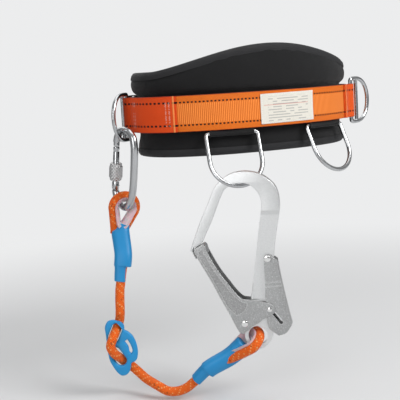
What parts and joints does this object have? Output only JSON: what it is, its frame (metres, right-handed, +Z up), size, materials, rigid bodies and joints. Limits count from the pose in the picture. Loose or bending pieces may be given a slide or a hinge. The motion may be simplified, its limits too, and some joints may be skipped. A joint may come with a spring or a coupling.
{
  "type": "tree climbing saddle",
  "caption": "Padded work-positioning waist belt with D-rings, tool rings, a front buckle and a rope lanyard with a screw-gate carabiner and a hook.",
  "frame": {"origin": "centre of the whole part's box, with every joint at rest", "axes": "+Z up, +Y towards the wearer's front, +X to the wearer's right"},
  "size_m": [0.408, 0.2686, 0.4416],
  "materials": {
    "black_fabric": "matt",
    "polished_steel": "polished",
    "spring_steel": "satin",
    "orange_webbing": "woven",
    "forged_alloy": "satin",
    "plated_channel": "satin",
    "label_cloth": "matt",
    "orange_rope": "woven",
    "foam": "matt",
    "blue_rubber": "satin",
    "clear_thimble": "gloss"
  },
  "bodies": {
    "belt": {"pad_outer_cover": "black_fabric", "pad_foam_core": "foam", "pad_inner_lining": "black_fabric", "pad_binding_top": "black_fabric", "pad_binding_bottom": "black_fabric", "waist_webbing": "orange_webbing", "belt_backing": "black_fabric", "d_ring_fold_left": "orange_webbing", "d_ring_fold_right": "orange_webbing", "label_patch": "label_cloth", "d_ring_left": "polished_steel", "tool_ring_left": "polished_steel", "tool_ring_sleeve_left": "black_fabric", "tool_ring_sleeve_right": "black_fabric", "buckle_frame": "polished_steel", "frame_fold": "orange_webbing", "insert_fold": "orange_webbing", "strap_tail": "orange_webbing", "strap_keeper_inner": "black_fabric", "strap_keeper_outer": "black_fabric"},
    "right_d_ring": {"d_ring_right": "polished_steel"},
    "right_tool_ring": {"tool_ring_right": "polished_steel"},
    "insert": {"buckle_insert": "polished_steel"},
    "slide_bar": {"buckle_slide_bar": "polished_steel"},
    "lanyard": {"carabiner_body": "polished_steel", "carabiner_gate_pin": "polished_steel", "lanyard_rope": "orange_rope", "thimble_upper": "clear_thimble", "thimble_lower": "clear_thimble", "rope_sleeve_upper": "blue_rubber", "rope_sleeve_lower": "blue_rubber", "rope_adjuster": "blue_rubber", "hook_body": "forged_alloy", "hook_gate_rivet": "polished_steel", "hook_lever_rivet": "polished_steel", "hook_gate_spring": "spring_steel", "hook_lever_spring": "spring_steel"},
    "gate": {"carabiner_gate": "polished_steel", "carabiner_gate_spring": "spring_steel"},
    "screw_sleeve": {"carabiner_screw_sleeve": "polished_steel"},
    "hook_gate": {"hook_gate": "plated_channel", "hook_lock_pin": "polished_steel"},
    "hook_lever": {"hook_lever": "plated_channel"}
  },
  "joints": [
    {"name": "right_d_ring_swing", "type": "hinge", "parent": "belt", "child": "right_d_ring", "pos_m": [0.16563, -0.0273, 0.13845], "axis": [0, 0, 1], "range_deg": [-95, 32]},
    {"name": "right_tool_ring_swing", "type": "hinge", "parent": "belt", "child": "right_tool_ring", "pos_m": [0.09667, -0.0624, 0.11166], "axis": [-0.9563, -0.2924, 0], "range_deg": [-22, 60]},
    {"name": "insert_tilt", "type": "hinge", "parent": "belt", "child": "insert", "pos_m": [-0.01268, 0.12646, 0.13845], "axis": [0, 0, 1], "range_deg": [0, 35]},
    {"name": "slide_bar_travel", "type": "slide", "parent": "insert", "child": "slide_bar", "axis": [-1, 0, 0], "range_m": [0, 0.009]},
    {"name": "lanyard_swing", "type": "hinge", "parent": "belt", "child": "lanyard", "pos_m": [-0.04749, -0.09567, 0.04749], "axis": [-0.6271, 0.6983, 0.3452], "range_deg": [0, 4]},
    {"name": "gate_swing", "type": "hinge", "parent": "lanyard", "child": "gate", "pos_m": [-0.15806, 0.04717, 0.04655], "axis": [0.9877, 0.1564, 0], "range_deg": [0, 20], "stiffness_Nm_per_rad": 0.02},
    {"name": "screw_sleeve_travel", "type": "slide", "parent": "gate", "child": "screw_sleeve", "axis": [-0.029, 0.1831, -0.9827], "range_m": [-0.0275, 0]},
    {"name": "hook_lever_squeeze", "type": "hinge", "parent": "lanyard", "child": "hook_lever", "pos_m": [-0.02288, -0.11262, -0.04274], "axis": [0.5736, 0.8192, 0], "range_deg": [0, 6], "stiffness_Nm_per_rad": 0.3},
    {"name": "hook_gate_swing", "type": "hinge", "parent": "lanyard", "child": "hook_gate", "pos_m": [-0.04901, -0.09432, -0.12455], "axis": [0.5736, 0.8192, 0], "range_deg": [0, 28.2]}
  ],
  "couplings": [
    {"joint": "hook_gate_swing", "follows": "hook_lever_squeeze", "ratio": 4.7}
  ]
}
